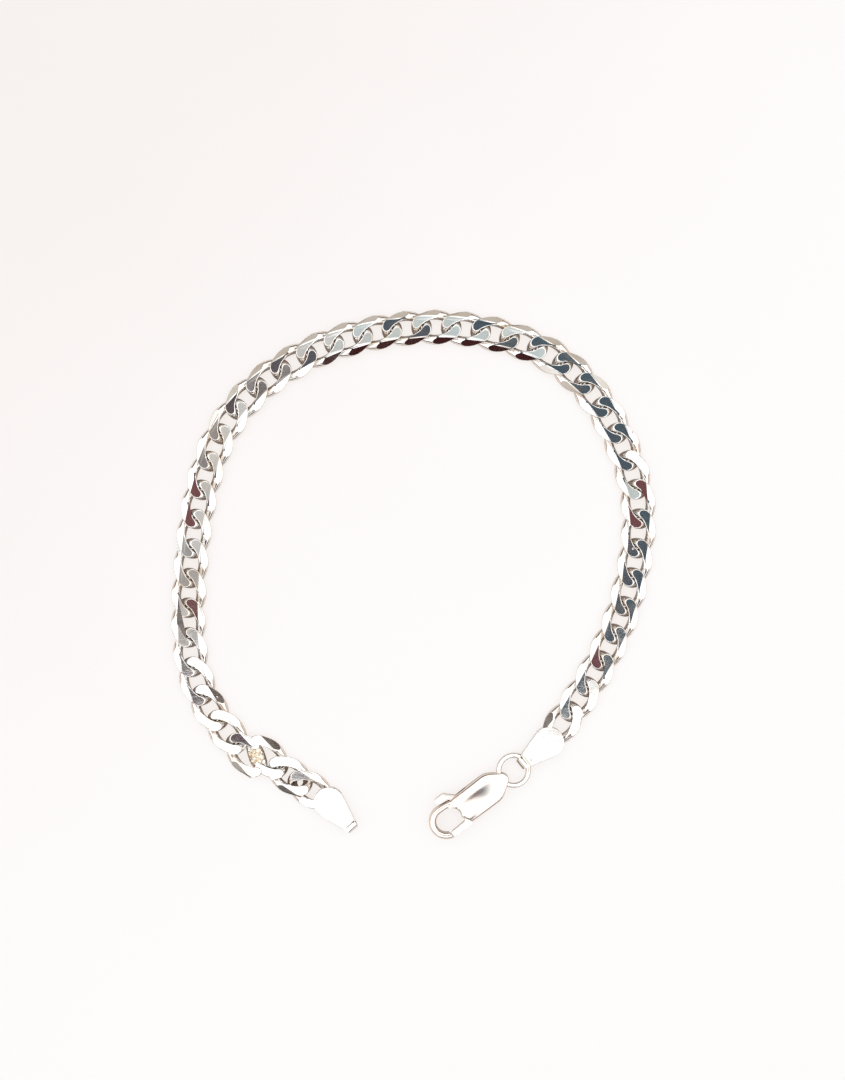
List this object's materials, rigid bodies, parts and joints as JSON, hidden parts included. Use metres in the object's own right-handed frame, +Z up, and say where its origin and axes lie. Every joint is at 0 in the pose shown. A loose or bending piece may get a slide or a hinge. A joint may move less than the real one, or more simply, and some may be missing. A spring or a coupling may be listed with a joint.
{
  "type": "link bracelet",
  "caption": "Curb link bracelet in bright silver, opened and laid in a loop: flat bevelled links, teardrop end caps folded from plate, a jump ring and a trigger clasp.",
  "frame": {"origin": "middle of the whole bracelet's box, on the surface that it lies on", "axes": "+Z up off the surface, +Y towards the middle of the chain's bow, +X towards the clasp's side"},
  "size_m": [0.0688, 0.075, 0.0029],
  "materials": {
    "links": "polished silver, facets ground flat",
    "end_caps": "silver, finely pitted and scratched",
    "soldered_joint": "silver with a rough porous lump of solder",
    "jump_ring": "drawn silver wire, polished",
    "clasp": "cast silver, polished",
    "lever": "cast silver, polished",
    "pin": "plain wire"
  },
  "bodies": {
    "bracelet": {"end_cap_left": "end_caps", "soldered_links": "soldered_joint", "link_02": "links", "link_05": "links", "link_06": "links", "link_07": "links", "link_08": "links", "link_09": "links", "link_10": "links", "link_11": "links", "link_12": "links", "link_13": "links", "link_14": "links", "link_15": "links", "link_16": "links", "link_17": "links", "link_18": "links", "link_19": "links", "link_20": "links", "link_21": "links", "link_22": "links", "link_23": "links", "link_24": "links", "link_25": "links", "link_26": "links", "link_27": "links", "link_28": "links", "link_29": "links", "link_30": "links", "link_31": "links", "link_32": "links", "link_33": "links", "link_34": "links", "link_35": "links", "link_36": "links", "link_37": "links", "link_38": "links", "link_39": "links", "link_40": "links", "link_41": "links", "end_cap_right": "end_caps", "jump_ring": "jump_ring", "clasp_body": "clasp", "clasp_pin": "pin"},
    "lever": {"clasp_lever": "lever"}
  },
  "joints": [
    {"name": "lever_hinge", "type": "hinge", "parent": "bracelet", "child": "lever", "pos_m": [0.00836, -0.03346, 0.00145], "axis": [0, 0, -1], "range_deg": [0, 25], "stiffness_Nm_per_rad": 0.0001}
  ]
}
